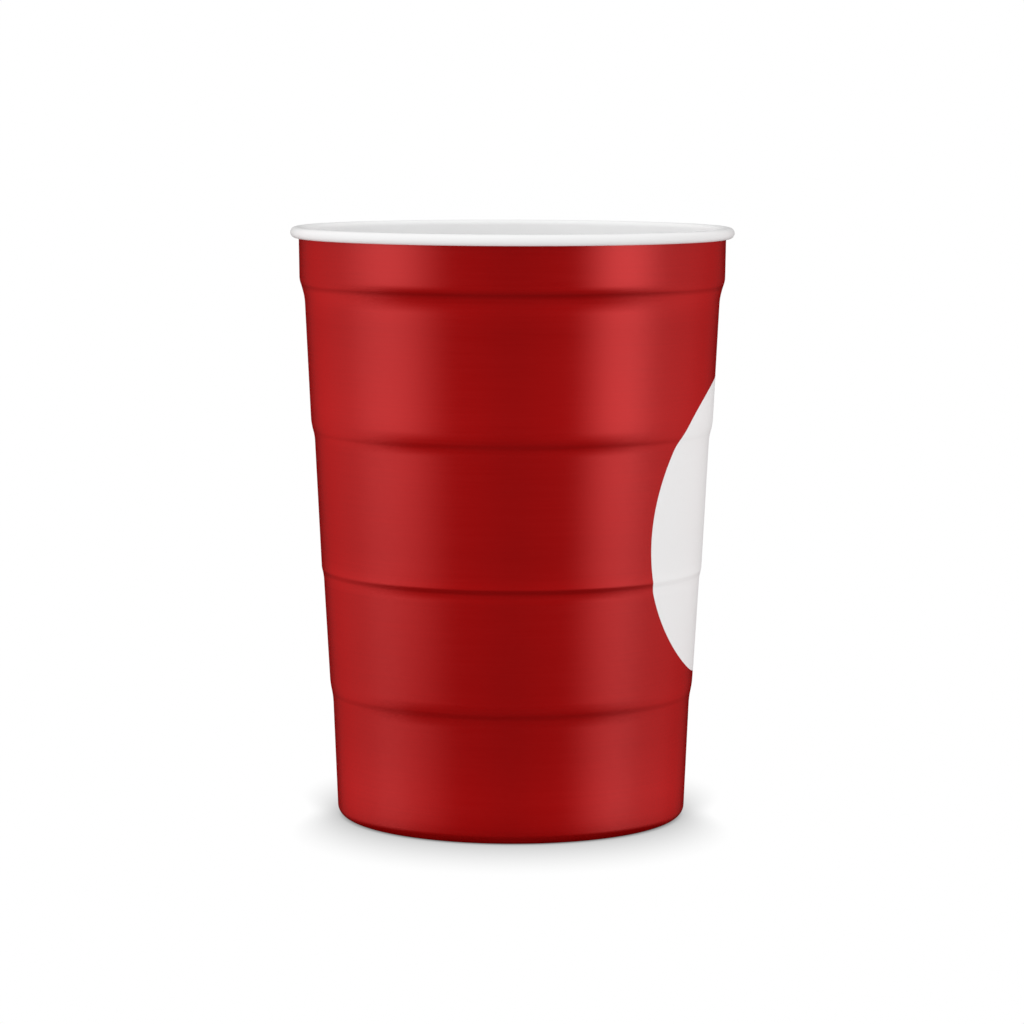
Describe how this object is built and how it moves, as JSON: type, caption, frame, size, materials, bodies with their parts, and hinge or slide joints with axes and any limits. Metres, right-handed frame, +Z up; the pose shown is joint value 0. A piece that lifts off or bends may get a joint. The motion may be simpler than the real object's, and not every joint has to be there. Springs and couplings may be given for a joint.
{
  "type": "steel cup",
  "caption": "Tapered single-wall steel drinking cup with a stepped wall, a rolled rim and a recessed base; red outside, white inside.",
  "frame": {"origin": "centre of the surface that the cup stands on", "axes": "+Z up, along the cup's axis, towards the rim; +X towards the middle of the white round field"},
  "size_m": [0.0876, 0.0876, 0.1173],
  "materials": {
    "red_coat": "satin"
  },
  "bodies": {
    "root": {"cup": "red_coat"}
  },
  "joints": []
}
